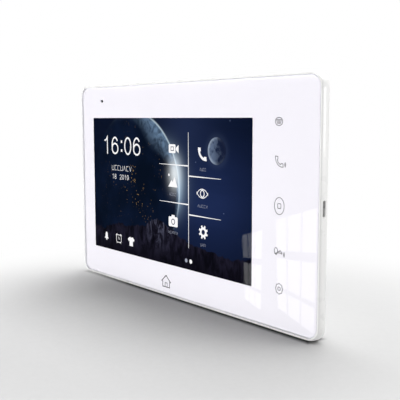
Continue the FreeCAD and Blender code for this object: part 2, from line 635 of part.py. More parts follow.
def make_rear_cover():
    form = cover_form(0, 0)
    body = form.cut(cover_form(1.2, COVER_T))
    ring = slab(WIDTH - 2 * WALL_T - 0.3, HEIGHT - 2 * WALL_T - 0.3, CORNER_R - WALL_T,
                SPLIT_Y - 1.4, SPLIT_Y + 0.6)
    ring = ring.cut(slab(WIDTH - 2 * WALL_T - 2.5, HEIGHT - 2 * WALL_T - 2.5,
                         CORNER_R - WALL_T - 1, SPLIT_Y - 2, SPLIT_Y + 1))
    ring = ring.cut(block(100, WIDTH / 2, SPLIT_Y - 2, SPLIT_Y + 1, SWITCH_Z - 9, SWITCH_Z + 9))
    body = body.fuse(ring)
    floor_y = POCKET_Y - POCKET_FLOOR_T
    body = body.fuse(plate(grown(POCKET_X, COVER_T), grown(POCKET_Z, COVER_T), 5.0,
                           floor_y, BACK_Y - 0.5))
    for x, z in CASE_SCREWS:
        body = body.fuse(disc(x, z, 3.6, SPLIT_Y - 0.3, BACK_Y).common(form))
    for x, z in speaker_screw_places():
        body = body.fuse(disc(x, z, 2.4, SPEAKER_FACE_Y, BACK_Y - 0.5))
        body = body.cut(disc(x, z, 1.05, SPEAKER_FACE_Y - 1, BACK_Y - 1))
    body = body.cut(plate(POCKET_X, POCKET_Z, 4.0, POCKET_Y, BACK_Y + 1))
    body = body.cut(plate(WINDOW_X, WINDOW_Z, 1.5, floor_y - 1, POCKET_Y + 1))
    for slot in hook_slots():
        body = body.cut(slot)
    for x, z in CASE_SCREWS:
        body = body.cut(disc(x, z, 2.5, CASE_SEAT_Y, 0))
        body = body.cut(disc(x, z, 1.5, SPLIT_Y - 2, 0))
    for x, z in pad_places():
        body = body.cut(disc(x, z, PAD_R + 0.1, BACK_Y - 0.5, 0))
    body = body.cut(plate(LABEL_X, LABEL_Z, 1.5, BACK_Y - 0.2, 0))
    for cutter in grille_slots() + vent_slots():
        body = body.cut(cutter)
    return body.removeSplitter()


def pad_places():
    return [(sx * PAD_X, sz * PAD_Z) for sx in (-1, 1) for sz in (-1, 1)]


def grille_slots():
    """Sound slots over the speaker, shorter at the sides to follow its oblong."""
    slots = []
    for index in range(-2, 3):
        half = 15.0 - 1.3 * index * index
        slots.append(slab(1.7, 2 * half, 0.8, BACK_Y - COVER_T - 1, 0,
                          SPEAKER_X + index * 3.2, SPEAKER_Z))
    return slots


def vent_slots():
    return [slab(1.7, 5.0, 0.8, BACK_Y - COVER_T - 1, 0, -44 + index * 5.5, 46.2)
            for index in range(17)]


def make_case_screws():
    return Part.makeCompound([screw(x, z, CASE_SEAT_Y, CASE_TIP_Y, 1.25, 2.3, 1.4)
                              for x, z in CASE_SCREWS])


def make_wall_pads():
    pads = []
    for x, z in pad_places():
        pad = disc(x, z, PAD_R, BACK_Y - 0.5, -0.3)
        pads.append(pad.makeFillet(0.4, outline_edges(pad, -0.3)))
    return Part.makeCompound(pads)


def make_rating_plate():
    """Blank foil plate in its shallow recess."""
    return plate(grown(LABEL_X, -0.3), grown(LABEL_Z, -0.3), 1.2, BACK_Y - 0.2, BACK_Y - 0.08)


def main():
    os.makedirs("parts", exist_ok=True)
    save("wall_bracket", make_wall_bracket())
    save("cover_glass", make_cover_glass())
    save("glass_print", make_glass_print())
    save("glass_adhesive", make_glass_adhesive())
    save("front_frame", make_front_frame())
    save("lcd_gasket", make_lcd_gasket())
    save("lcd_bezel", make_lcd_bezel())
    save("lcd_panel", make_lcd_panel())
    save("backlight", make_backlight())
    save("lcd_flex", make_lcd_flex())
    save("panel_clamps", make_panel_clamps())
    save("clamp_screws", make_clamp_screws())
    save("main_board", make_main_board())
    save("board_screws", make_board_screws())
    save("processor", chip(0, 30, 16, 16, 1.4))
    save("memory_chips", make_memory_chips())
    save("video_decoder", chip(-42, -6, 11, 11, 1.2))
    save("audio_amplifier", chip(46, -14, 5, 6.4, 1.5))
    save("power_inductors", make_power_inductors())
    save("capacitors", make_capacitors())
    save("clock_crystal", make_clock_crystal())
    save("battery_holder", make_battery_holder())
    save("clock_battery", make_clock_battery())
    save("key_connector", make_key_connector())
    for name, x, z, count in HEADERS:
        save(name, make_header(x, z, count))
    save("header_pins", make_header_pins())
    save("touch_key_board", make_touch_key_board())
    save("touch_electrodes", make_touch_electrodes())
    save("key_cable", make_key_cable())
    save("speaker_frame", make_speaker_frame())
    save("speaker_magnet", make_speaker_magnet())
    save("speaker_cone", make_speaker_cone())
    save("speaker_gasket", make_speaker_gasket())
    save("speaker_screws", make_speaker_screws())
    save("speaker_wires", make_speaker_wires())
    save("microphone", make_microphone())
    save("microphone_boot", make_microphone_boot())
    save("microphone_wires", make_microphone_wires())
    save("switch_housing", make_switch_housing())
    save("switch_slider", make_switch_slider())
    save("switch_board", make_switch_board())
    save("switch_wires", make_switch_wires())
    save("rear_cover", make_rear_cover())
    save("case_screws", make_case_screws())
    save("wall_pads", make_wall_pads())
    save("rating_plate", make_rating_plate())


main()
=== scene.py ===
import json
import math
import random

import bmesh
import bpy
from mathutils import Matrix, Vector


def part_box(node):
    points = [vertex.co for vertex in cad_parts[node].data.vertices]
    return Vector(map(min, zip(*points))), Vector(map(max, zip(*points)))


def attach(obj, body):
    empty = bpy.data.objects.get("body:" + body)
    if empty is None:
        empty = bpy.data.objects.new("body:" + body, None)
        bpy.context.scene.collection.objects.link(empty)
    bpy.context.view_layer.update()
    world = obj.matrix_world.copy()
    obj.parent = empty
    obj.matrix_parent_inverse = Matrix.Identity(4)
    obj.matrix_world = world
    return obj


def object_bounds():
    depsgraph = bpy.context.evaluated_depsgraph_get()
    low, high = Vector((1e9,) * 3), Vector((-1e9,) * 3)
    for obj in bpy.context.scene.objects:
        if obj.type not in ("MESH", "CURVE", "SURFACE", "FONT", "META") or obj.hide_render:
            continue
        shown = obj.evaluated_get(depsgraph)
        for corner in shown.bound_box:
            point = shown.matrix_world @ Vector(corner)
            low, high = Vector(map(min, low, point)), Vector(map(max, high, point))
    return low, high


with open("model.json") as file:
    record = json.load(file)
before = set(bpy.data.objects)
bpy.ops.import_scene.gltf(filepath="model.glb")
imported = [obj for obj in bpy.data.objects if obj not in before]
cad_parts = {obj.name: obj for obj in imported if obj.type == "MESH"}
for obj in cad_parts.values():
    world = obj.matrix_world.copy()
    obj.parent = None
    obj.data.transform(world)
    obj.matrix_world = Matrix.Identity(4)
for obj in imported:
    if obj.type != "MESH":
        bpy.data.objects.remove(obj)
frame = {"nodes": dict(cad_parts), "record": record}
cad_low, cad_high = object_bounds()
nodes = frame["nodes"]

MM = 0.001

# Boxes of the glass and the display module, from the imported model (metres, +Y into the wall)
GLASS_LOW, GLASS_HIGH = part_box("cover_glass")
LCD_LOW, LCD_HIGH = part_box("lcd_bezel")
FRONT_Y = GLASS_LOW.y

# Lit picture of a 7-inch panel, inside the display module's border
PICTURE_W, PICTURE_H = 154.2 * MM, 86.3 * MM
LCD_BORDER = 5.0 * MM
PICTURE_LEFT = LCD_LOW.x + LCD_BORDER
PICTURE_TOP = LCD_HIGH.z - LCD_BORDER
PICTURE_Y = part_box("lcd_panel")[0].y - 0.02 * MM
PICTURE_SPARE = 0.6 * MM  # lit margin that runs on behind the window's edge

# Thin layers in front of the picture, and the symbols in the gap between glass and print
SCREEN_INK_Y = PICTURE_Y - 0.05 * MM
SCREEN_CUT_Y = SCREEN_INK_Y - 0.03 * MM
PANEL_INK_Y = (GLASS_HIGH.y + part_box("glass_print")[0].y) / 2
INK_T = 0.02 * MM

# Centre line of the touch keys, from the electrodes' radius and box
ELECTRODE_R = 5.0 * MM
KEY_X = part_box("touch_electrodes")[0].x + ELECTRODE_R

# Each key symbol's shift from that line and its height, in millimetres
KEY_ROWS = ((-0.95, 40.35), (0.0, 20.9), (-0.15, -0.65), (0.2, -22.6), (0.35, -41.7))

# Camera: where it stands and how it looks
CAMERA_PLACE = Vector((0.3181, -0.2611, 0.0420))
CAMERA_AZIMUTH = math.radians(50.63)
CAMERA_ELEVATION = math.radians(6.66)
CAMERA_ROLL = math.radians(0.08)
CAMERA_LENS = 63.16


# ------------------------------------------------------------------ node graphs

class Graph:
    """Short words for building one node material."""

    def __init__(self, name):
        self.material = bpy.data.materials.new(name)
        self.material.use_nodes = True
        self.tree = self.material.node_tree
        self.tree.nodes.clear()
        self.output = self.tree.nodes.new("ShaderNodeOutputMaterial")

    def add(self, kind, values=None, **settings):
        node = self.tree.nodes.new("ShaderNode" + kind)
        for key, value in settings.items():
            setattr(node, key, value)
        for key, value in (values or {}).items():
            self.put(node.inputs[key], value)
        return node

    def put(self, socket, value):
        if isinstance(value, bpy.types.NodeSocket):
            self.tree.links.new(value, socket)
        else:
            socket.default_value = value

    def math(self, operation, *values, clamp=False):
        node = self.add("Math", operation=operation, use_clamp=clamp)
        for index, value in enumerate(values):
            self.put(node.inputs[index], value)
        return node.outputs[0]

    def mix(self, share, low, high):
        node = self.add("Mix", data_type="RGBA")
        self.put(node.inputs[0], share)
        self.put(node.inputs[6], rgba(low))
        self.put(node.inputs[7], rgba(high))
        return node.outputs[2]

    def spread(self, value, low, high, to_low=0.0, to_high=1.0):
        node = self.add("MapRange", interpolation_type="SMOOTHSTEP")
        for index, number in enumerate((value, low, high, to_low, to_high)):
            self.put(node.inputs[index], number)
        return node.outputs[0]

    def place(self, stretch=(1, 1, 1), shift=(0, 0, 0)):
        """Position on the object in millimetres, stretched and shifted."""
        coordinate = self.add("TexCoord").outputs["Object"]
        node = self.add("Mapping", {"Vector": coordinate})
        node.inputs["Scale"].default_value = [1000 * s for s in stretch]
        node.inputs["Location"].default_value = shift
        return node.outputs[0]

    def noise(self, vector, scale, detail=3.0, roughness=0.5, distortion=0.0):
        node = self.add("TexNoise", {"Vector": vector, "Scale": scale, "Detail": detail,
                                     "Roughness": roughness, "Distortion": distortion})
        return node.outputs["Fac"]

    def cells(self, vector, scale):
        return self.add("TexVoronoi", {"Vector": vector, "Scale": scale}).outputs

    def bump(self, height, strength, distance=0.05 * MM):
        node = self.add("Bump", {"Height": height, "Strength": strength, "Distance": distance})
        return node.outputs[0]

    def principled(self, **values):
        node = self.add("BsdfPrincipled")
        for key, value in values.items():
            self.put(node.inputs[key.replace("_", " ")], value)
        return node.outputs[0]

    def finish(self, shader):
        self.tree.links.new(shader, self.output.inputs["Surface"])
        return self.material


def rgba(value):
    if isinstance(value, (tuple, list)) and len(value) == 3:
        return (*value, 1.0)
    return value


# ------------------------------------------------------------------ materials

def moulded(name, colour, rough, grain=4.0, relief=0.12, drift=0.03, coat=0.0):
    """Moulded plastic or rubber: fine spark texture, slow colour drift, uneven gloss."""
    g = Graph(name)
    place = g.place()
    slow = g.noise(place, 0.03, 2)
    fine = g.noise(place, grain, 4, 0.6)
    dark = tuple(c * (1 - drift) for c in colour)
    light = tuple(min(1.0, c * (1 + drift)) for c in colour)
    base = g.mix(slow, dark, light)
    gloss = g.spread(g.noise(place, 0.25, 3), 0.3, 0.7, rough * 0.88, rough * 1.12)
    shader = g.principled(Base_Color=base, Roughness=gloss, Coat_Weight=coat,
                          Coat_Roughness=0.12, Normal=g.bump(fine, relief))
    return g.finish(shader)


def sheet_metal(name, colour, rough, brush=(0.08, 1, 3.5)):
    """Rolled or plated metal: grain lines along one way and faint plating clouds."""
    g = Graph(name)
    lines = g.noise(g.place(brush), 3.0, 5, 0.65)
    clouds = g.noise(g.place(), 0.12, 4, 0.6)
    spangle = g.cells(g.place(), 0.35)["Color"]
    grey = g.add("RGBToBW", {"Color": spangle}).outputs[0]
    base = g.mix(g.spread(clouds, 0.3, 0.7), tuple(c * 0.86 for c in colour), colour)
    base = g.mix(g.math("MULTIPLY", grey, 0.06), base, (1.0, 1.0, 1.0))
    gloss = g.spread(lines, 0.25, 0.75, rough * 0.75, rough * 1.3)
    shader = g.principled(Base_Color=base, Metallic=1.0, Roughness=gloss,
                          Normal=g.bump(lines, 0.1, 0.02 * MM))
    return g.finish(shader)


def circuit_board(name, mask, track):
    """Solder mask with tracks under it, pads and vias."""
    g = Graph(name)
    turn = g.add("VectorRotate", {"Vector": g.place(), "Angle": math.pi / 2},
                 rotation_type="X_AXIS")
    lines = g.add("TexBrick", {"Vector": turn.outputs[0], "Scale": 0.22,
                               "Mortar Size": 0.035, "Mortar Smooth": 0.2,
                               "Brick Width": 0.9, "Row Height": 0.35,
                               "Color1": (0, 0, 0, 1), "Color2": (0.1, 0.1, 0.1, 1),
                               "Mortar": (1, 1, 1, 1)})
    vias = g.cells(g.place((1, 0.01, 1)), 0.28)["Distance"]
    ring = g.spread(vias, 0.10, 0.13, 1.0, 0.0)
    hole = g.spread(vias, 0.045, 0.06, 1.0, 0.0)
    lit = g.add("RGBToBW", {"Color": lines.outputs["Color"]}).outputs[0]
    base = g.mix(g.math("MULTIPLY", lit, 0.55), mask, track)
    base = g.mix(ring, base, (0.62, 0.58, 0.42))
    base = g.mix(hole, base, (0.01, 0.01, 0.01))
    shader = g.principled(Base_Color=base, Roughness=g.spread(lit, 0, 1, 0.32, 0.24),
                          Metallic=g.math("MULTIPLY", ring, 0.8),
                          Normal=g.bump(lit, 0.3, 0.03 * MM))
    return g.finish(shader)


# The painted glow at the glass's edge starts this far in from its ends and its long sides
# (millimetres)
GLOW_FROM_END, GLOW_FROM_SIDE = 8.0, 5.0


def cover_glass_material():
    """Clear polished glass that mirrors more at a slant, with a frosted edge.

    Seen from inside, the outer edge has a painted glow, an emission that stands in for the
    light that the glass carries to it.
    """
    g = Graph("cover_glass_clear")
    smear = g.noise(g.place(), 0.05, 3, 0.55)
    gloss = g.spread(smear, 0.35, 0.75, 0.012, 0.035)
    clear = g.add("BsdfTransparent", {"Color": (0.996, 0.993, 0.999, 1.0)}).outputs[0]
    mirror = g.add("BsdfGlossy", {"Color": (1.0, 1.0, 1.0, 1.0), "Roughness": gloss}).outputs[0]
    share = g.add("Fresnel", {"IOR": 1.5}).outputs[0]
    outside = g.math("SUBTRACT", 1.0, g.add("NewGeometry").outputs["Backfacing"])
    share = g.math("MULTIPLY", share, outside)
    mixed = g.add("MixShader", {0: share, 1: clear, 2: mirror}).outputs[0]
    facing = g.add("SeparateXYZ", {0: g.add("TexCoord").outputs["Normal"]}).outputs["Y"]
    edge = g.spread(g.math("ABSOLUTE", facing), 0.75, 0.95, 1.0, 0.0)
    frost = g.principled(Base_Color=g.mix(smear, (0.80, 0.80, 0.86), (0.86, 0.86, 0.92)),
                         Roughness=0.45)
    axes = g.add("SeparateXYZ", {"Vector": g.place()}).outputs
    past_x = g.math("SUBTRACT", g.math("ABSOLUTE", axes["X"]),
                    GLASS_HIGH.x / MM - GLOW_FROM_END)
    past_z = g.math("SUBTRACT", g.math("ABSOLUTE", axes["Z"]),
                    GLASS_HIGH.z / MM - GLOW_FROM_SIDE)
    beyond = g.math("MAXIMUM", past_x, past_z)
    # Painted glow: the edge seen from inside gives off light in place of the light the glass
    # carries to it
    painted_edge_glow = g.add("Emission", {"Color": (0.84, 0.84, 0.88, 1.0),
                                "Strength": g.spread(beyond, 0.0, 1.0, 0.02, 1.0)}).outputs[0]
    side = g.add("MixShader", {0: outside, 1: painted_edge_glow, 2: frost}).outputs[0]
    return g.finish(g.add("MixShader", {0: edge, 1: mixed, 2: side}).outputs[0])


def print_material():
    """White screen print seen through glass: even, very slightly lavender."""
    g = Graph("white_screen_print")
    place = g.place()
    weave = g.noise(place, 9.0, 2, 0.5)
    slow = g.noise(place, 0.02, 2)
    base = g.mix(slow, (0.868, 0.860, 0.898), (0.888, 0.880, 0.916))
    shader = g.principled(Base_Color=base, Roughness=g.spread(weave, 0.3, 0.7, 0.42, 0.5),
                          Normal=g.bump(weave, 0.04, 0.01 * MM))
    return g.finish(shader)


def ink(name, colour):
    """Printed ink with fine specks."""
    g = Graph(name)
    specks = g.noise(g.place(), 6.0, 3, 0.6)
    base = g.mix(g.spread(specks, 0.35, 0.65), tuple(c * 0.85 for c in colour), colour)
    return g.finish(g.principled(Base_Color=base, Roughness=g.spread(specks, 0, 1, 0.45, 0.6)))


def light_ink(name, colour, strength):
    """Lit pixels of the picture: one plain colour with the panel's fine pixel rows."""
    g = Graph(name)
    rows = g.noise(g.place((1, 0.01, 12)), 1.6, 1)
    shown = g.mix(g.spread(rows, 0.3, 0.7), tuple(c * 0.93 for c in colour), colour)
    return g.finish(g.add("Emission", {"Color": shown, "Strength": strength}).outputs[0])


def paper_cone(name):
    """Dark pressed pulp."""
    g = Graph(name)
    pulp = g.noise(g.place(), 2.2, 6, 0.7)
    base = g.mix(pulp, (0.035, 0.035, 0.036), (0.11, 0.11, 0.11))
    return g.finish(g.principled(Base_Color=base, Roughness=g.spread(pulp, 0, 1, 0.75, 0.95),
                                 Normal=g.bump(pulp, 0.5, 0.1 * MM)))


def foam(name, colour):
    """Foam with open pores, each painted darker as shade in its hollow."""
    g = Graph(name)
    pores = g.cells(g.place(), 3.0)["Distance"]
    # Painted shade: the colour darkens towards each pore's middle
    base = g.mix(g.spread(pores, 0.1, 0.6), tuple(c * 0.4 for c in colour), colour)
    return g.finish(g.principled(Base_Color=base, Roughness=g.spread(pores, 0, 1, 0.98, 0.8),
                                 Normal=g.bump(pores, 0.7, 0.15 * MM)))


# Centre and radius of the planet and of the moon, in millimetres from the picture's upper
# left corner
PLANET_X, PLANET_Z, PLANET_R = 47.1, -42.6, 46.4
MOON_X, MOON_Z, MOON_R = 126.6, -17.6, 7.4

# Height of the hills over the picture's lower edge, at shares of the picture's width
HILL_HEIGHTS = [(0.0, 15.5), (0.075, 13.6), (0.20, 19.3), (0.30, 18.2), (0.385, 21.3),
                (0.465, 26.4), (0.55, 21.8), (0.65, 15.6), (0.79, 12.6), (0.92, 11.4),
                (1.0, 14.4)]
HILL_SCALE = 40.0  # height that the ridge's colour ramp holds as white


class Wallpaper(Graph):
    """Home-screen picture: night sky, a planet with a lit rim, a moon and dark hills.

    Lengths are in millimetres from the picture's upper left corner. Each layer takes the
    colour behind it and returns the colour with itself in front.
    """

    def __init__(self, name):
        super().__init__(name)
        place = self.place(shift=(-PICTURE_LEFT / MM, 0, -PICTURE_TOP / MM))
        axes = self.add("SeparateXYZ", {"Vector": place}).outputs
        self.x, self.z = axes["X"], axes["Z"]

    def distance(self, cx, cz, squeeze=1.0):
        dx = self.math("SUBTRACT", self.x, cx)
        dz = self.math("MULTIPLY", self.math("SUBTRACT", self.z, cz), squeeze)
        return self.math("SQRT", self.math("ADD", self.math("MULTIPLY", dx, dx),
                                           self.math("MULTIPLY", dz, dz)))

    def fade(self, value, length):
        """1 at zero, falling away smoothly with distance."""
        share = self.math("DIVIDE", value, length)
        return self.math("EXPONENT", self.math("MULTIPLY", self.math("MULTIPLY", share, share),
                                               -1.0))

    def sky(self):
        """Navy, bluer to the right of the middle, with faint streaks and a few stars."""
        streaks = self.noise(self.place((0.35, 1, 1.6)), 0.05, 4, 0.6)
        sky = self.mix(self.fade(self.distance(118, -44, 1.35), 42.0),
                       (0.0011, 0.0036, 0.0135), (0.0120, 0.0240, 0.0850))
        upper = self.fade(self.distance(100, -2), 24.0)
        sky = self.mix(self.math("MULTIPLY", upper, 0.8), sky, (0.0150, 0.0260, 0.0750))
        sky = self.mix(self.spread(streaks, 0.35, 0.75, 0.0, 0.35), sky,
                       (0.0045, 0.0110, 0.0400))
        stars = self.cells(self.place((1, 0.01, 1)), 0.16)["Distance"]
        star = self.spread(stars, 0.025, 0.06, 1.0, 0.0)
        sparse = self.spread(self.noise(self.place(), 0.11, 1), 0.55, 0.6)
        shown = self.math("MULTIPLY", self.math("MULTIPLY", star, sparse), 0.45)
        return self.mix(shown, sky, (0.35, 0.45, 0.75))

    def planet_night(self):
        """The planet's dark face with the lights of towns."""
        haze = self.noise(self.place(), 0.035, 3, 0.5)
        face = self.mix(self.spread(haze, 0.35, 0.7), (0.0009, 0.0040, 0.0130),
                        (0.0030, 0.0090, 0.0310))
        specks = self.cells(self.place((1, 0.01, 1)), 0.62)["Distance"]
        lit = self.spread(specks, 0.08, 0.24, 1.0, 0.0)
        towns = self.spread(self.noise(self.place(), 0.085, 3, 0.7), 0.48, 0.62)
        near = self.math("MULTIPLY", towns, self.fade(self.distance(52, -38, 1.1), 27.0))
        return self.mix(self.math("MULTIPLY", lit, near), face, (0.60, 0.38, 0.13))

    def planet(self, behind):
        """Night face, cloudy day side, bright rim, and its glow and flare beyond the rim."""
        from_planet = self.distance(PLANET_X, PLANET_Z)
        angle = self.math("ARCTAN2", self.math("SUBTRACT", self.z, PLANET_Z),
                          self.math("SUBTRACT", self.x, PLANET_X))
        strong = self.fade(self.math("SUBTRACT", angle, 0.17), 0.36)
        wide = self.fade(self.math("SUBTRACT", angle, 0.95), 0.55)
        rim_share = self.math("ADD", strong, self.math("MULTIPLY", wide, 0.55), clamp=True)
        inside = self.spread(from_planet, PLANET_R - 0.35, PLANET_R + 0.35, 1.0, 0.0)
        depth = self.math("SUBTRACT", PLANET_R, from_planet)
        clouds = self.noise(self.place(), 0.16, 6, 0.62, 1.2)
        day_width = self.math("ADD", 3.5, self.math("MULTIPLY", wide, 14.0))
        day = self.math("MULTIPLY", self.spread(depth, 0.0, day_width, 1.0, 0.0),
                        self.spread(clouds, 0.30, 0.72, 0.25, 1.0))
        face = self.mix(self.math("MULTIPLY", day, rim_share), self.planet_night(),
                        (0.30, 0.48, 0.72))
        scene = self.mix(inside, behind, face)
        rim = self.fade(depth, 0.55)
        scene = self.mix(self.math("MULTIPLY", rim, rim_share), scene, (0.75, 0.92, 1.0))
        outside = self.math("MAXIMUM", self.math("MULTIPLY", depth, -1.0), 0.0)
        glow = self.math("EXPONENT", self.math("MULTIPLY", outside, -0.30))
        glow = self.math("MULTIPLY", self.math("MULTIPLY", glow, strong),
                         self.math("SUBTRACT", 1.0, inside))
        scene = self.mix(self.math("MULTIPLY", glow, 0.8), scene, (0.55, 0.78, 1.0))
        flare = self.fade(self.distance(89.5, -32.0, 0.62), 5.2)
        return self.mix(self.math("MULTIPLY", flare, 0.85), scene, (0.92, 0.98, 1.0))

    def moon(self, behind):
        """Grey-blue, lit from the left, with dark plains and a faint halo."""
        from_moon = self.distance(MOON_X, MOON_Z)
        plains = self.noise(self.place(), 0.22, 5, 0.6)
        ground = self.mix(self.spread(plains, 0.42, 0.58), (0.012, 0.024, 0.062),
                          (0.13, 0.18, 0.28))
        across = self.math("SUBTRACT", self.x, MOON_X)
        lit_side = self.spread(across, -7.0, 6.5, 1.0, 0.10)
        shore = self.spread(from_moon, MOON_R - 2.2, MOON_R, 0.0, 0.55)
        ground = self.mix(self.math("MULTIPLY", shore, lit_side), ground, (0.55, 0.66, 0.80))
        ground = self.mix(lit_side, (0.006, 0.010, 0.034), ground)
        inside = self.spread(from_moon, MOON_R - 0.25, MOON_R + 0.25, 1.0, 0.0)
        scene = self.mix(inside, behind, ground)
        outside = self.math("MAXIMUM", self.math("SUBTRACT", from_moon, MOON_R), 0.0)
        halo = self.math("MULTIPLY", self.fade(outside, 2.4),
                         self.spread(from_moon, MOON_R, MOON_R + 0.3, 0.0, 0.035))
        return self.mix(halo, scene, (0.25, 0.35, 0.55))

    def hills(self, behind):
        """Rough ridge with folded rock, snow round its peak and dark foothills."""
        ridge = self.add("ValToRGB", {"Fac": self.math("DIVIDE", self.x, PICTURE_W / MM)})
        ramp = ridge.color_ramp
        while len(ramp.elements) < len(HILL_HEIGHTS):
            ramp.elements.new(0.5)
        for element, (along, height) in zip(ramp.elements, HILL_HEIGHTS):
            element.position = along
            element.color = (height / HILL_SCALE,) * 3 + (1.0,)
        level = self.add("RGBToBW", {"Color": ridge.outputs["Color"]}).outputs[0]
        height = self.math("MULTIPLY", level, HILL_SCALE)
        crag = self.noise(self.place((1, 1, 0.7)), 0.22, 7, 0.62)
        height = self.math("ADD", height, self.spread(crag, 0.2, 0.8, -1.6, 1.6))
        above = self.math("SUBTRACT", self.math("ADD", self.z, PICTURE_H / MM), height)
        folds = self.noise(self.place((1.3, 1, 0.55)), 0.13, 7, 0.7, 0.8)
        rock = self.mix(self.spread(folds, 0.36, 0.66), (0.0018, 0.0018, 0.0050),
                        (0.0150, 0.0135, 0.0290))
        snow = self.math("MULTIPLY", self.spread(folds, 0.48, 0.62),
                         self.fade(self.distance(72, -63.5), 9.5))
        rock = self.mix(self.math("MULTIPLY", snow, 0.75), rock, (0.14, 0.15, 0.22))
        foot = self.spread(self.z, -PICTURE_H / MM, -74.0, 0.65, 0.0)
        rock = self.mix(foot, rock, (0.0020, 0.0018, 0.0045))
        return self.mix(self.spread(above, -0.2, 0.2, 1.0, 0.0), behind, rock)


def wallpaper_material():
    g = Wallpaper("home_screen_picture")
    scene = g.hills(g.moon(g.planet(g.sky())))
    return g.finish(g.add("Emission", {"Color": scene, "Strength": 1.0}).outputs[0])


def make_materials():
    """One material for each of the record's slots.

    After the colour, moulded takes roughness, grain, relief, drift and coat, and sheet_metal
    takes roughness and the stretch of its grain lines.
    """
    white = (0.845, 0.845, 0.835)
    return {
        "bracket_steel": sheet_metal("zinc_sheet", (0.72, 0.73, 0.75), 0.34),
        "cover_glass": cover_glass_material(),
        "white_print": print_material(),
        "foam_tape": foam("foam_tape_white", (0.80, 0.80, 0.78)),
        "frame_white": moulded("frame_white_gloss", white, 0.30, 5.0, 0.05, 0.01, 0.25),
        "foam_black": foam("foam_black_cells", (0.05, 0.05, 0.05)),
        "lcd_steel": sheet_metal("lcd_stamped_steel", (0.66, 0.67, 0.69), 0.3),
        "display": moulded("display_cell_dark", (0.010, 0.012, 0.018), 0.16, 2.0, 0.02, 0.1),
        "backlight_white": moulded("backlight_tray_white", (0.83, 0.83, 0.80), 0.45),
        "flex_amber": moulded("flex_polyimide", (0.55, 0.27, 0.05), 0.28, 1.2, 0.1, 0.12, 0.3),
        "screw_steel": sheet_metal("screw_zinc", (0.66, 0.67, 0.70), 0.28, (1, 1, 1)),
        "screw_black": sheet_metal("screw_black_zinc", (0.045, 0.045, 0.05), 0.35, (1, 1, 1)),
        "board_green": circuit_board("board_solder_mask", (0.008, 0.085, 0.035),
                                     (0.03, 0.22, 0.09)),
        "chip_black": moulded("chip_epoxy", (0.022, 0.022, 0.024), 0.55, 6.0, 0.25, 0.15),
        "inductor_grey": moulded("inductor_ferrite", (0.11, 0.11, 0.12), 0.6, 5.0, 0.4, 0.12),
        "capacitor_can": sheet_metal("capacitor_aluminium", (0.78, 0.78, 0.80), 0.3, (1, 1, 0.1)),
        "crystal_can": sheet_metal("nickel_can", (0.72, 0.71, 0.69), 0.24),
        "cell_steel": sheet_metal("coin_cell_steel", (0.76, 0.76, 0.77), 0.2, (1, 0.1, 1)),
        "header_nylon": moulded("header_nylon_natural", (0.80, 0.76, 0.66), 0.42, 2.5, 0.08, 0.04),
        "tinned_brass": sheet_metal("tinned_pins", (0.78, 0.76, 0.72), 0.22, (1, 0.1, 1)),
        "electrode_copper": sheet_metal("electrode_copper_foil", (0.80, 0.44, 0.27), 0.3),
        "speaker_steel": moulded("speaker_black_coat", (0.03, 0.03, 0.03), 0.4, 3.0, 0.3, 0.1),
        "ferrite": moulded("magnet_ferrite", (0.05, 0.05, 0.055), 0.65, 2.0, 0.6, 0.2),
        "cone_paper": paper_cone("cone_pressed_paper"),
        "wire_red": moulded("wire_pvc_red", (0.50, 0.02, 0.02), 0.35, 3.0, 0.1, 0.1),
        "wire_black": moulded("wire_pvc_black", (0.02, 0.02, 0.02), 0.35, 3.0, 0.1, 0.1),
        "rubber_black": moulded("rubber_black", (0.018, 0.018, 0.018), 0.75, 3.0, 0.3, 0.15),
        "rubber_grey": moulded("rubber_grey", (0.20, 0.20, 0.21), 0.72, 3.0, 0.3, 0.08),
        "slider_grey": moulded("slider_dark_grey", (0.16, 0.16, 0.17), 0.42, 4.0, 0.2, 0.08),
        # Painted shade: the rear cover's white is set darker than the frame's, because the
        # overhead lamp behind the object lights the back strongly
        "cover_white": moulded("cover_white_textured", (0.72, 0.72, 0.71), 0.52, 3.2, 0.35, 0.012),
        "plate_foil": sheet_metal("blank_foil", (0.70, 0.70, 0.71), 0.38, (0.05, 1, 3)),
    }


def dress_cad_nodes(made):
    """Every CAD node takes the material of its slot in the record."""
    for part in frame["record"]["subparts"]:
        slots = nodes[part["node"]].data.materials
        if len(slots) == 0:
            slots.append(made[part["material_slot"]])
        for index in range(len(slots)):
            slots[index] = made[part["material_slot"]]


# ------------------------------------------------------------------ flat drawing

def add_piece(name, mesh, material):
    """Object from a finished bmesh, with one material."""
    data = bpy.data.meshes.new(name)
    mesh.to_mesh(data)
    mesh.free()
    data.materials.append(material)
    piece = bpy.data.objects.new(name, data)
    bpy.context.scene.collection.objects.link(piece)
    return piece


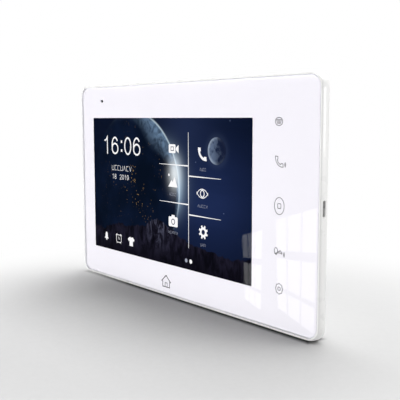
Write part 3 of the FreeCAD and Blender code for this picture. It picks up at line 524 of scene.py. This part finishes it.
class Drawing:
    """Thin closed shapes in a plane of constant Y, drawn in millimetres from an origin."""

    def __init__(self, name, y, origin, material, slot):
        self.name, self.y, self.origin = name, y, origin
        self.material, self.slot = material, slot
        self.mesh = bmesh.new()

    def fill(self, points):
        """Closed slab of ink over one outline."""
        corners = [Vector((self.origin[0] + px * MM, self.y, self.origin[1] + pz * MM))
                   for px, pz in points]
        front = [self.mesh.verts.new(c) for c in corners]
        back = [self.mesh.verts.new(c + Vector((0, INK_T, 0))) for c in corners]
        self.mesh.faces.new(front)
        self.mesh.faces.new(back[::-1])
        count = len(points)
        for i in range(count):
            self.mesh.faces.new((front[i], back[i], back[(i + 1) % count],
                                 front[(i + 1) % count]))

    def line(self, points, width, closed=False, end_width=None):
        """A stroke of even width, or one that tapers to end_width."""
        last_width = width if end_width is None else end_width
        count = len(points)
        left, right = [], []
        for i in range(count):
            if closed:
                before, after = points[i - 1], points[(i + 1) % count]
            else:
                before, after = points[max(i - 1, 0)], points[min(i + 1, count - 1)]
            here = points[i]
            into = unit(before, here) if before != here else unit(here, after)
            away = unit(here, after) if after != here else into
            normal = Vector((-(into.y + away.y), into.x + away.x)).normalized()
            half = width + (last_width - width) * i / max(count - 1, 1)
            half = half / 2 / max(0.4, normal.dot(Vector((-into.y, into.x))))
            left.append((here[0] + normal.x * half, here[1] + normal.y * half))
            right.append((here[0] - normal.x * half, here[1] - normal.y * half))
        for i in range(count if closed else count - 1):
            j = (i + 1) % count
            self.fill([right[i], right[j], left[j], left[i]])

    def ring(self, cx, cz, rx, rz, width, steps=40):
        self.line(arc(cx, cz, rx, rz, 0, 360, steps)[:-1], width, closed=True)

    def disc(self, cx, cz, radius):
        self.fill(arc(cx, cz, radius, radius, 0, 360, 28)[:-1])

    def done(self):
        """Turn the shapes into one piece that rides on the monitor."""
        bmesh.ops.recalc_face_normals(self.mesh, faces=self.mesh.faces)
        piece = add_piece(self.name, self.mesh, self.material)
        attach(piece, "monitor")


def unit(a, b):
    return Vector((b[0] - a[0], b[1] - a[1])).normalized()


def arc(cx, cz, rx, rz, start, stop, steps=20):
    points = []
    for i in range(steps + 1):
        angle = math.radians(start + (stop - start) * i / steps)
        points.append((cx + rx * math.cos(angle), cz + rz * math.sin(angle)))
    return points


def rounded_box(x0, x1, z0, z1, radius, steps=5):
    points = arc(x1 - radius, z1 - radius, radius, radius, 0, 90, steps)
    points += arc(x0 + radius, z1 - radius, radius, radius, 90, 180, steps)
    points += arc(x0 + radius, z0 + radius, radius, radius, 180, 270, steps)
    points += arc(x1 - radius, z0 + radius, radius, radius, 270, 360, steps)
    return points


def moved(points, dx, dz, scale=1.0):
    return [(px * scale + dx, pz * scale + dz) for px, pz in points]


# Numerals as strokes: width, pen and step to the next numeral, as shares of their height
DIGIT_W, DIGIT_STROKE, DIGIT_ADVANCE = 0.70, 0.094, 0.88


def digit_strokes(character):
    """Centre lines of one numeral, 1 high."""
    half, inset = DIGIT_W / 2, DIGIT_STROKE / 2
    wide, tall = half - inset, 0.5 - inset
    bowl = 0.33 - inset
    zero = arc(half, 0.5, wide, tall, 0, 360, 32)
    six = (arc(half, 0.5, wide, tall, 35, 195, 20)
           + arc(half, inset + bowl, wide, bowl, 175, -185, 28))
    shapes = {
        "0": [zero],
        "1": [[(0.12, 0.76), (0.30, 0.81), (0.42, 0.97), (0.42, 0.0)]],
        "2": [arc(half, 0.72, wide, 0.28 - inset, 170, -35, 16)
              + [(inset, inset), (DIGIT_W, inset)]],
        "6": [six],
        "8": [arc(half, 0.75, wide * 0.86, 0.25 - inset * 0.6, 0, 360, 24),
              arc(half, 0.27, wide, 0.27 - inset, 0, 360, 24)],
        "9": [[(DIGIT_W - px, 1 - pz) for px, pz in six]],
    }
    return shapes[character]


def write_numerals(drawing, text, x, z, height):
    """Stroke numerals from x rightwards on the base line z. A colon takes a narrow cell."""
    for character in text:
        if character == ":":
            for level in (0.16, 0.66):
                drawing.fill(moved([(0.08, level), (0.22, level), (0.22, level + 0.14),
                                    (0.08, level + 0.14)], x, z, height))
            x += 0.43 * height
            continue
        for stroke in digit_strokes(character):
            drawing.line(moved(stroke, x, z, height), DIGIT_STROKE * height)
        x += DIGIT_ADVANCE * height


def placeholder_word(drawing, cx, z, length, height, count, seed):
    """A row of angular marks where a word would be: arch, cup, peak, valley or open box.

    They spell nothing, but cup, valley and open box have the shapes of U, V and a square C.
    """
    chance = random.Random(seed)
    step = length / count
    width = step * 0.66
    stroke = height * 0.08
    for i in range(count):
        x0 = cx - length / 2 + i * step + step * 0.17
        x1, top = x0 + width, z + height
        shape = chance.choice(([(x0, z), (x0, top), (x1, top), (x1, z)],
                               [(x0, top), (x0, z), (x1, z), (x1, top)],
                               [(x0, z), ((x0 + x1) / 2, top), (x1, z)],
                               [(x0, top), ((x0 + x1) / 2, z), (x1, top)],
                               [(x1, top), (x0, top), (x0, z), (x1, z)]))
        drawing.line(shape, stroke)


# ------------------------------------------------------------------ the picture and its menu

def make_picture(material):
    """The lit area of the panel, a slab gridded so that it can be lit and baked evenly."""
    mesh = bmesh.new()
    columns, rows = 32, 18
    left, width = PICTURE_LEFT - PICTURE_SPARE, PICTURE_W + 2 * PICTURE_SPARE
    top, height = PICTURE_TOP + PICTURE_SPARE, PICTURE_H + 2 * PICTURE_SPARE
    grid = {}
    for layer, y in enumerate((PICTURE_Y, PICTURE_Y + INK_T * 0.8)):
        for i in range(columns + 1):
            for j in range(rows + 1):
                grid[layer, i, j] = mesh.verts.new((left + width * i / columns, y,
                                                    top - height * j / rows))
    for layer in (0, 1):
        for i in range(columns):
            for j in range(rows):
                mesh.faces.new([grid[layer, i, j], grid[layer, i, j + 1],
                                grid[layer, i + 1, j + 1], grid[layer, i + 1, j]])
    border = [(i, 0) for i in range(columns)] + [(columns, j) for j in range(rows)]
    border += [(i, rows) for i in range(columns, 0, -1)] + [(0, j) for j in range(rows, 0, -1)]
    for a, b in zip(border, border[1:] + border[:1]):
        mesh.faces.new([grid[(0, *a)], grid[(0, *b)], grid[(1, *b)], grid[(1, *a)]])
    bmesh.ops.recalc_face_normals(mesh, faces=mesh.faces)
    piece = add_piece("display_picture", mesh, material)
    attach(piece, "monitor")


def on_picture(name, y, material):
    return Drawing(name, y, (PICTURE_LEFT, PICTURE_TOP), material, "display")


def handset_outline(cx, cz, scale):
    """Telephone handset lying along its bow: thick ends, a thinner grip between them."""
    ox, oz = 3.3, 3.0
    outer, grip, pad = 6.3, 5.0, 4.15
    first, last, end_span, step = 174, 276, 21, 5
    points = arc(ox, oz, outer, outer, first, last, 20)
    points += arc(ox, oz, pad, pad, last, last - end_span, 5)
    points += arc(ox, oz, grip, grip, last - end_span - step, first + end_span + step, 14)
    points += arc(ox, oz, pad, pad, first + end_span, first, 5)
    return moved(points, cx, cz, scale)


def gear_outline(cx, cz, outer, inner, teeth=8):
    """Gear with square teeth; the offsets are degrees from each tooth's middle."""
    points = []
    for tooth in range(teeth):
        middle = 360 * tooth / teeth + 22.5
        for offset, radius in ((-13, inner), (-8.5, outer), (8.5, outer), (13, inner)):
            angle = math.radians(middle + offset)
            points.append((cx + radius * math.cos(angle), cz + radius * math.sin(angle)))
    return points


def make_clock(bright):
    """Time, a placeholder for the month, day and year."""
    d = on_picture("clock_numerals", SCREEN_INK_Y, bright)
    write_numerals(d, "16:06", 12.2, -23.1, 11.3)
    d.done()
    d = on_picture("date_lines", SCREEN_INK_Y, bright)
    placeholder_word(d, 33.4, -33.3, 23.5, 3.0, 7, 3)
    write_numerals(d, "18", 22.3, -39.0, 3.1)
    write_numerals(d, "2019", 31.2, -39.0, 3.1)
    d.done()


def make_menu_lines(bright):
    """Upright divider between the menu's two columns, and short ones between the entries."""
    d = on_picture("menu_lines", SCREEN_INK_Y, bright)
    d.line([(102.2, -8.0), (102.2, -38.0)], 0.28, end_width=0.62)
    d.line([(102.2, -73.7), (102.2, -38.0)], 0.28, end_width=0.62)
    for z in (-26.8, -48.8):
        d.line([(101.9, z), (74.4, z)], 0.75, end_width=0.22)
    for z in (-32.5, -54.5):
        d.line([(102.5, z), (130.1, z)], 0.75, end_width=0.22)
    d.done()


def draw_video_camera(d, cut):
    d.fill(rounded_box(83.9, 90.3, -20.1, -15.0, 0.8))
    d.fill([(90.7, -17.0), (93.2, -15.2), (93.2, -20.0), (90.7, -18.2)])
    cut.line([(86.0, -16.5), (88.6, -16.5), (88.6, -18.6), (86.0, -18.6)], 0.4, closed=True)


def draw_gallery(d):
    """Two peaks and a sun."""
    d.disc(83.9, -32.9, 0.75)
    d.fill([(83.2, -39.8), (86.3, -35.8), (87.4, -37.0), (89.3, -33.8), (92.0, -39.8)])


def draw_still_camera(d, cut):
    d.fill(rounded_box(83.4, 92.0, -63.1, -57.3, 0.8))
    d.fill([(85.8, -57.6), (86.5, -56.2), (89.0, -56.2), (89.7, -57.6)])
    cut.ring(87.7, -60.2, 1.55, 1.55, 0.55)


def draw_eye(d, cx, cz):
    upper = arc(cx, cz - 3.7, 5.6, 6.2, 148, 32, 16)
    lower = arc(cx, cz + 3.7, 5.6, 6.2, -32, -148, 16)
    d.line(upper + lower, 0.45, closed=True)
    d.ring(cx, cz, 1.6, 1.9, 0.6)


def draw_gear(d, cut, cx, cz):
    d.fill(gear_outline(cx, cz, 3.9, 2.85))
    cut.disc(cx, cz, 1.45)


# Placeholder under each menu icon: centre, base line, length and number of marks
MENU_WORDS = ((87.6, -23.2, 5.2, 4), (87.4, -44.9, 6.6, 5), (87.6, -67.4, 9.6, 6),
              (115.0, -28.9, 6.0, 4), (114.7, -49.3, 9.2, 5), (115.0, -71.0, 4.6, 3))


def make_menu_icons(bright, dark, soft):
    """Six menu entries: icons, what is cut out of them, and the marks under them."""
    d = on_picture("menu_icons", SCREEN_INK_Y, bright)
    cut = on_picture("menu_icon_cuts", SCREEN_CUT_Y, dark)
    draw_video_camera(d, cut)
    draw_gallery(d)
    draw_still_camera(d, cut)
    d.fill(handset_outline(114.0, -19.9, 1.06))
    draw_eye(d, 114.5, -41.5)
    draw_gear(d, cut, 115.3, -63.0)
    d.done()
    cut.done()
    words = on_picture("menu_placeholders", SCREEN_INK_Y, soft)
    for cx, z, length, count in MENU_WORDS:
        placeholder_word(words, cx, z, length, 1.5, count, count + int(cx))
    words.done()


def make_status_icons(bright, soft):
    """Bell, alarm clock, shirt and the two page dots along the picture's lower edge."""
    d = on_picture("status_icons", SCREEN_INK_Y, bright)
    # bell
    d.fill([(11.7, -79.6), (12.7, -78.4), (12.9, -76.7)] + arc(14.2, -76.7, 1.3, 1.5, 180, 0, 8)
           + [(15.6, -78.4), (16.6, -79.6)])
    d.disc(14.2, -79.9, 0.8)
    # alarm clock
    d.line(rounded_box(26.2, 31.9, -80.4, -75.5, 1.5), 0.42, closed=True)
    d.line([(29.05, -76.6), (29.05, -78.2), (30.3, -78.2)], 0.38)
    for sx in (-1, 1):
        d.line([(29.05 + sx * 3.3, -75.9), (29.05 + sx * 1.9, -74.8)], 0.5)
        d.line([(29.05 + sx * 1.8, -80.3), (29.05 + sx * 2.4, -81.1)], 0.4)
    # shirt
    half = [(1.0, 2.9), (1.9, 2.7), (3.7, 1.4), (2.9, 0.0), (1.9, 0.6), (1.9, -2.9)]
    d.fill(moved([(-0.9, 2.9), (0, 2.3)] + half + [(-px, pz) for px, pz in half[::-1]][:-1],
                 43.4, -78.0))
    d.disc(104.1, -81.3, 1.25)
    d.done()
    dim = on_picture("page_dot_dim", SCREEN_INK_Y, soft)
    dim.disc(99.9, -81.3, 1.15)
    dim.done()


# ------------------------------------------------------------------ symbols printed on the panel

def on_panel(name, key, material):
    """Drawing for one key, centred where its symbol stands in the column."""
    shift, z = KEY_ROWS[key]
    return Drawing(name, PANEL_INK_Y, (KEY_X + shift * MM, z * MM), material, "white_print")


def waves(drawing, cx, cz, radii, width):
    """Sound waves that spread to the right."""
    for radius in radii:
        drawing.line(arc(cx, cz, radius, radius * 1.25, -48, 48, 10), width)


def scalloped_outline(radius_x, radius_z, depth, lobes=8):
    """Oval with soft lobes, as a gear in outline."""
    points = []
    count = lobes * 8
    for index in range(count):
        angle = 2 * math.pi * index / count
        swell = 1 + depth * math.cos(lobes * angle)
        points.append((radius_x * swell * math.cos(angle), radius_z * swell * math.sin(angle)))
    return points


def make_key_symbols(grey):
    """Five thin symbols, one over each touch electrode."""
    pen = 0.33
    # camera in a ring
    d = on_panel("key_symbol_view", 0, grey)
    d.ring(0, 0, 2.42, 1.95, pen)
    d.line([(-1.55, 0.8), (1.55, 0.8), (1.0, -0.85), (-1.0, -0.85)], pen, closed=True)
    d.ring(0, 0, 0.5, 0.42, pen * 0.8, 16)
    d.done()
    # handset with sound waves
    d = on_panel("key_symbol_talk", 1, grey)
    d.line(handset_outline(-0.84, 0, 0.75), pen, closed=True)
    waves(d, 2.5, -1.3, (0.7, 1.3), pen)
    d.done()
    # menu: a rounded square in a tall ring
    d = on_panel("key_symbol_menu", 2, grey)
    d.ring(0, 0, 3.27, 4.18, pen, 56)
    d.line(rounded_box(-1.1, 1.1, -1.18, 1.18, 0.5), pen, closed=True)
    d.done()
    # key with sound waves
    d = on_panel("key_symbol_open", 3, grey)
    d.ring(-2.27, -0.46, 1.15, 1.6, pen)
    d.ring(-2.0, -1.75, 0.42, 0.42, pen * 0.8, 14)
    d.line([(-1.1, -0.55), (0.0, -0.55), (0.6, 0.15), (1.2, -0.5), (1.9, -0.95), (1.7, -1.5),
            (0.7, -1.2), (-1.1, -1.2)], pen)
    waves(d, 2.2, -1.7, (0.7, 1.3), pen)
    d.done()
    # settings
    d = on_panel("key_symbol_settings", 4, grey)
    d.line(scalloped_outline(2.3, 2.55, 0.075), pen, closed=True)
    d.ring(0, 0, 0.9, 0.85, pen, 18)
    d.done()


# Where the house symbol stands, in millimetres from the picture's upper left corner
HOUSE_X, HOUSE_Z = 81.0, -96.9


def make_house_symbol(grey):
    """Plain outlined house under the display."""
    origin = (PICTURE_LEFT + HOUSE_X * MM, PICTURE_TOP + HOUSE_Z * MM)
    d = Drawing("house_symbol", PANEL_INK_Y, origin, grey, "white_print")
    d.line([(-3.4, 0.2), (-3.4, -3.4), (3.4, -3.4), (3.4, 0.2)], 0.55)
    d.line([(-4.6, -0.3), (0, 3.6), (4.6, -0.3)], 0.6)
    d.line([(-1.0, -3.3), (-1.0, -0.9), (1.0, -0.9), (1.0, -3.3)], 0.45)
    d.done()


# ------------------------------------------------------------------ studio

def window_light_material():
    """Daylight in the mirrored windows, slightly uneven."""
    g = Graph("window_light")
    slow = g.noise(g.place((0.005, 0.005, 0.005)), 1.0, 2)
    shown = g.mix(slow, (0.9, 0.9, 0.9), (1.0, 1.0, 1.0))
    return g.finish(g.add("Emission", {"Color": shown, "Strength": 1.6}).outputs[0])


def flat_piece(name, corner_sets, material):
    """Stage piece of separate flat polygons."""
    mesh = bmesh.new()
    for corners in corner_sets:
        mesh.faces.new([mesh.verts.new(c) for c in corners])
    piece = add_piece(name, mesh, material)
    return piece


# Paper round the object, in millimetres: the depth of the painted contact shadow, a dark
# strip where the housing stands, and the centre, start and end of the fade into the white of
# the studio
CONTACT_SHADE_DEPTH = 3.5
FADE_X, FADE_Y = 45.0, -40.0
FADE_START, FADE_END = 85.0, 235.0


def floor_material():
    """Pale paper that runs out into white and lights the panel's lower part from below; a painted
    contact shadow darkens it where the housing stands.
    """
    g = Graph("studio_pale_paper")
    grain = g.noise(g.place(), 0.4, 3)
    paper = g.mix(grain, (0.50, 0.50, 0.50), (0.53, 0.53, 0.53))
    axes = g.add("SeparateXYZ", {"Vector": g.place()}).outputs
    ahead = g.math("ABSOLUTE", g.math("SUBTRACT", axes["Y"], FRONT_Y / MM + CONTACT_SHADE_DEPTH))
    beside = g.math("SUBTRACT", g.math("ABSOLUTE", axes["X"]),
                    cad_high.x / MM - 3 * CONTACT_SHADE_DEPTH)
    # Painted contact shadow: the paper turns near black in a strip where the housing's front
    # stands
    painted_contact_shade = g.spread(g.math("MAXIMUM", ahead, beside), CONTACT_SHADE_DEPTH, 2.2 * CONTACT_SHADE_DEPTH,
                     0.9, 0.0)
    matt = g.principled(Base_Color=g.mix(painted_contact_shade, paper, (0.02, 0.02, 0.02)),
                        Roughness=0.95, Specular_IOR_Level=0.0)
    centred = g.place(shift=(-FADE_X, -FADE_Y, -cad_low.z / MM))
    away = g.add("VectorMath", {0: centred}, operation="LENGTH").outputs["Value"]
    white = g.add("Emission", {"Color": (1.0, 1.0, 1.0, 1.0), "Strength": 1.0}).outputs[0]
    lit = g.math("MULTIPLY", g.add("LightPath").outputs["Is Diffuse Ray"],
                 g.spread(ahead, CONTACT_SHADE_DEPTH, 3 * CONTACT_SHADE_DEPTH, 0.0, 0.95))
    share = g.math("MAXIMUM", lit, g.spread(away, FADE_START, FADE_END))
    return g.finish(g.add("MixShader", {0: share, 1: matt, 2: white}).outputs[0])


def make_floor():
    """Paper at the height of the object's lowest point; reach is in metres."""
    reach = 6.0
    z = cad_low.z
    corners = [(-reach, -reach, z), (reach, -reach, z), (reach, reach, z), (-reach, reach, z)]
    floor = flat_piece("studio_floor", [corners], floor_material())
    floor.visible_glossy = False


# Mirrored windows: corners as the glass shows them (TL, TR, BR, BL, in millimetres from the
# picture's upper left corner), the wall they are in, and their panes as shares of their size
WINDOWS = (((172.5, -49.5), (199.0, -41.0), (198.0, -101.0), (174.5, -93.0)),
           ((148.5, -60.0), (163.0, -56.0), (162.5, -97.0), (151.0, -93.5)))
WINDOW_WALL_Y = -1.6
WINDOW_COLUMNS = ((0.0, 0.26), (0.30, 0.62), (0.66, 1.0))
WINDOW_ROWS = ((0.0, 0.35), (0.43, 0.75), (0.79, 1.0))


def seen_in_glass(x, z):
    """Point on the window wall that the camera sees mirrored at (x, z) of the picture's frame."""
    place = Vector((PICTURE_LEFT + x * MM, FRONT_Y, PICTURE_TOP + z * MM))
    ray = place - CAMERA_PLACE
    ray.y = -ray.y
    return place + ray * ((WINDOW_WALL_Y - FRONT_Y) / ray.y)


def window_panes(corners):
    """Panes of one window from its corners as the glass shows them."""
    (ax, az), (bx, bz), (cx, cz), (dx, dz) = corners

    def at(u, v):
        top = (ax + (bx - ax) * u, az + (bz - az) * u)
        low = (dx + (cx - dx) * u, dz + (cz - dz) * u)
        return seen_in_glass(top[0] + (low[0] - top[0]) * v, top[1] + (low[1] - top[1]) * v)

    return [[at(u0, v0), at(u1, v0), at(u1, v1), at(u0, v1)]
            for u0, u1 in WINDOW_COLUMNS for v0, v1 in WINDOW_ROWS]


def make_windows():
    """Two windows that only mirror-like surfaces see."""
    panes = [pane for corners in WINDOWS for pane in window_panes(corners)]
    piece = flat_piece("studio_windows", panes, window_light_material())
    piece.visible_camera = False
    piece.visible_diffuse = False
    piece.visible_shadow = False


def area_light(name, place, aim, size, power, glossy=True):
    data = bpy.data.lights.new(name, "AREA")
    data.shape = "RECTANGLE"
    data.size, data.size_y = size
    data.energy = power
    light = bpy.data.objects.new(name, data)
    bpy.context.scene.collection.objects.link(light)
    light.location = place
    light.rotation_euler = (Vector(aim) - Vector(place)).to_track_quat("-Z", "Y").to_euler()
    light.visible_camera = False
    light.visible_glossy = glossy


# Brightness of the dome: near the horizon, overhead, and as mirror-like surfaces see it
DOME_LOW, DOME_HIGH = 0.30, 0.20
MIRROR_FRONT, MIRROR_BEHIND = 0.02, 0.85


def make_world():
    """White to the camera, a dome brightest near the horizon, dark in front for mirrors."""
    world = bpy.data.worlds.new("studio")
    bpy.context.scene.world = world
    world.use_nodes = True
    tree = world.node_tree
    tree.nodes.clear()

    def add(kind, **values):
        node = tree.nodes.new("ShaderNode" + kind)
        for key, value in values.items():
            node.inputs[key.replace("_", " ")].default_value = value
        return node

    def link(source, target):
        tree.links.new(source, target)

    way = add("SeparateXYZ")
    link(add("TexCoord").outputs["Generated"], way.inputs[0])
    path = add("LightPath")
    dome = add("MapRange", From_Min=0.0, From_Max=0.85, To_Min=DOME_LOW, To_Max=DOME_HIGH)
    link(way.outputs["Z"], dome.inputs["Value"])
    mirrored = add("MapRange", From_Min=-0.15, From_Max=0.35, To_Min=MIRROR_FRONT,
                   To_Max=MIRROR_BEHIND)
    link(way.outputs["Y"], mirrored.inputs["Value"])
    shades = []
    for strength in (dome.outputs[0], mirrored.outputs[0], None):
        shade = add("Background", Color=(1.0, 1.0, 1.0, 1.0), Strength=1.0)
        if strength is not None:
            link(strength, shade.inputs["Strength"])
        shades.append(shade.outputs[0])
    for chooser, other in (("Is Glossy Ray", 1), ("Is Camera Ray", 2)):
        mixed = add("MixShader")
        link(path.outputs[chooser], mixed.inputs[0])
        link(shades[0], mixed.inputs[1])
        link(shades[other], mixed.inputs[2])
        shades[0] = mixed.outputs[0]
    link(shades[0], add("OutputWorld").inputs["Surface"])


def make_lights():
    area_light("overhead", (0.05, 0.48, 1.40), aim=(0.0, 0.05, 0.0), size=(1.8, 1.0), power=40)
    area_light("front_left", (-1.25, -1.65, 0.0), aim=(0.0, 0.0, 0.0), size=(1.2, 0.12),
               power=35, glossy=False)
    area_light("back_right", (1.5, 0.7, 0.05), aim=(0.1, 0.0, 0.0), size=(0.8, 0.2), power=5)


def make_camera():
    data = bpy.data.cameras.new("camera")
    data.lens = CAMERA_LENS
    data.sensor_width = 36.0
    data.clip_start, data.clip_end = 0.01, 50.0
    camera = bpy.data.objects.new("camera", data)
    bpy.context.scene.collection.objects.link(camera)
    camera.location = CAMERA_PLACE
    camera.rotation_mode = "XYZ"
    camera.rotation_euler = (math.pi / 2 - CAMERA_ELEVATION, CAMERA_ROLL, CAMERA_AZIMUTH)
    bpy.context.scene.camera = camera
    bpy.context.scene.view_settings.view_transform = "Standard"


def main():
    made = make_materials()
    dress_cad_nodes(made)
    bright = light_ink("menu_white_light", (1.0, 1.0, 1.0), 1.1)
    soft = light_ink("menu_soft_light", (0.42, 0.45, 0.55), 1.0)
    dark = light_ink("menu_dark_light", (0.012, 0.020, 0.060), 1.0)
    make_picture(wallpaper_material())
    make_clock(bright)
    make_menu_lines(bright)
    make_menu_icons(bright, dark, soft)
    make_status_icons(bright, soft)
    grey = ink("symbol_grey_ink", (0.010, 0.010, 0.013))
    make_key_symbols(grey)
    make_house_symbol(ink("symbol_dark_ink", (0.035, 0.035, 0.045)))
    make_floor()
    make_windows()
    make_world()
    make_lights()
    make_camera()


main()
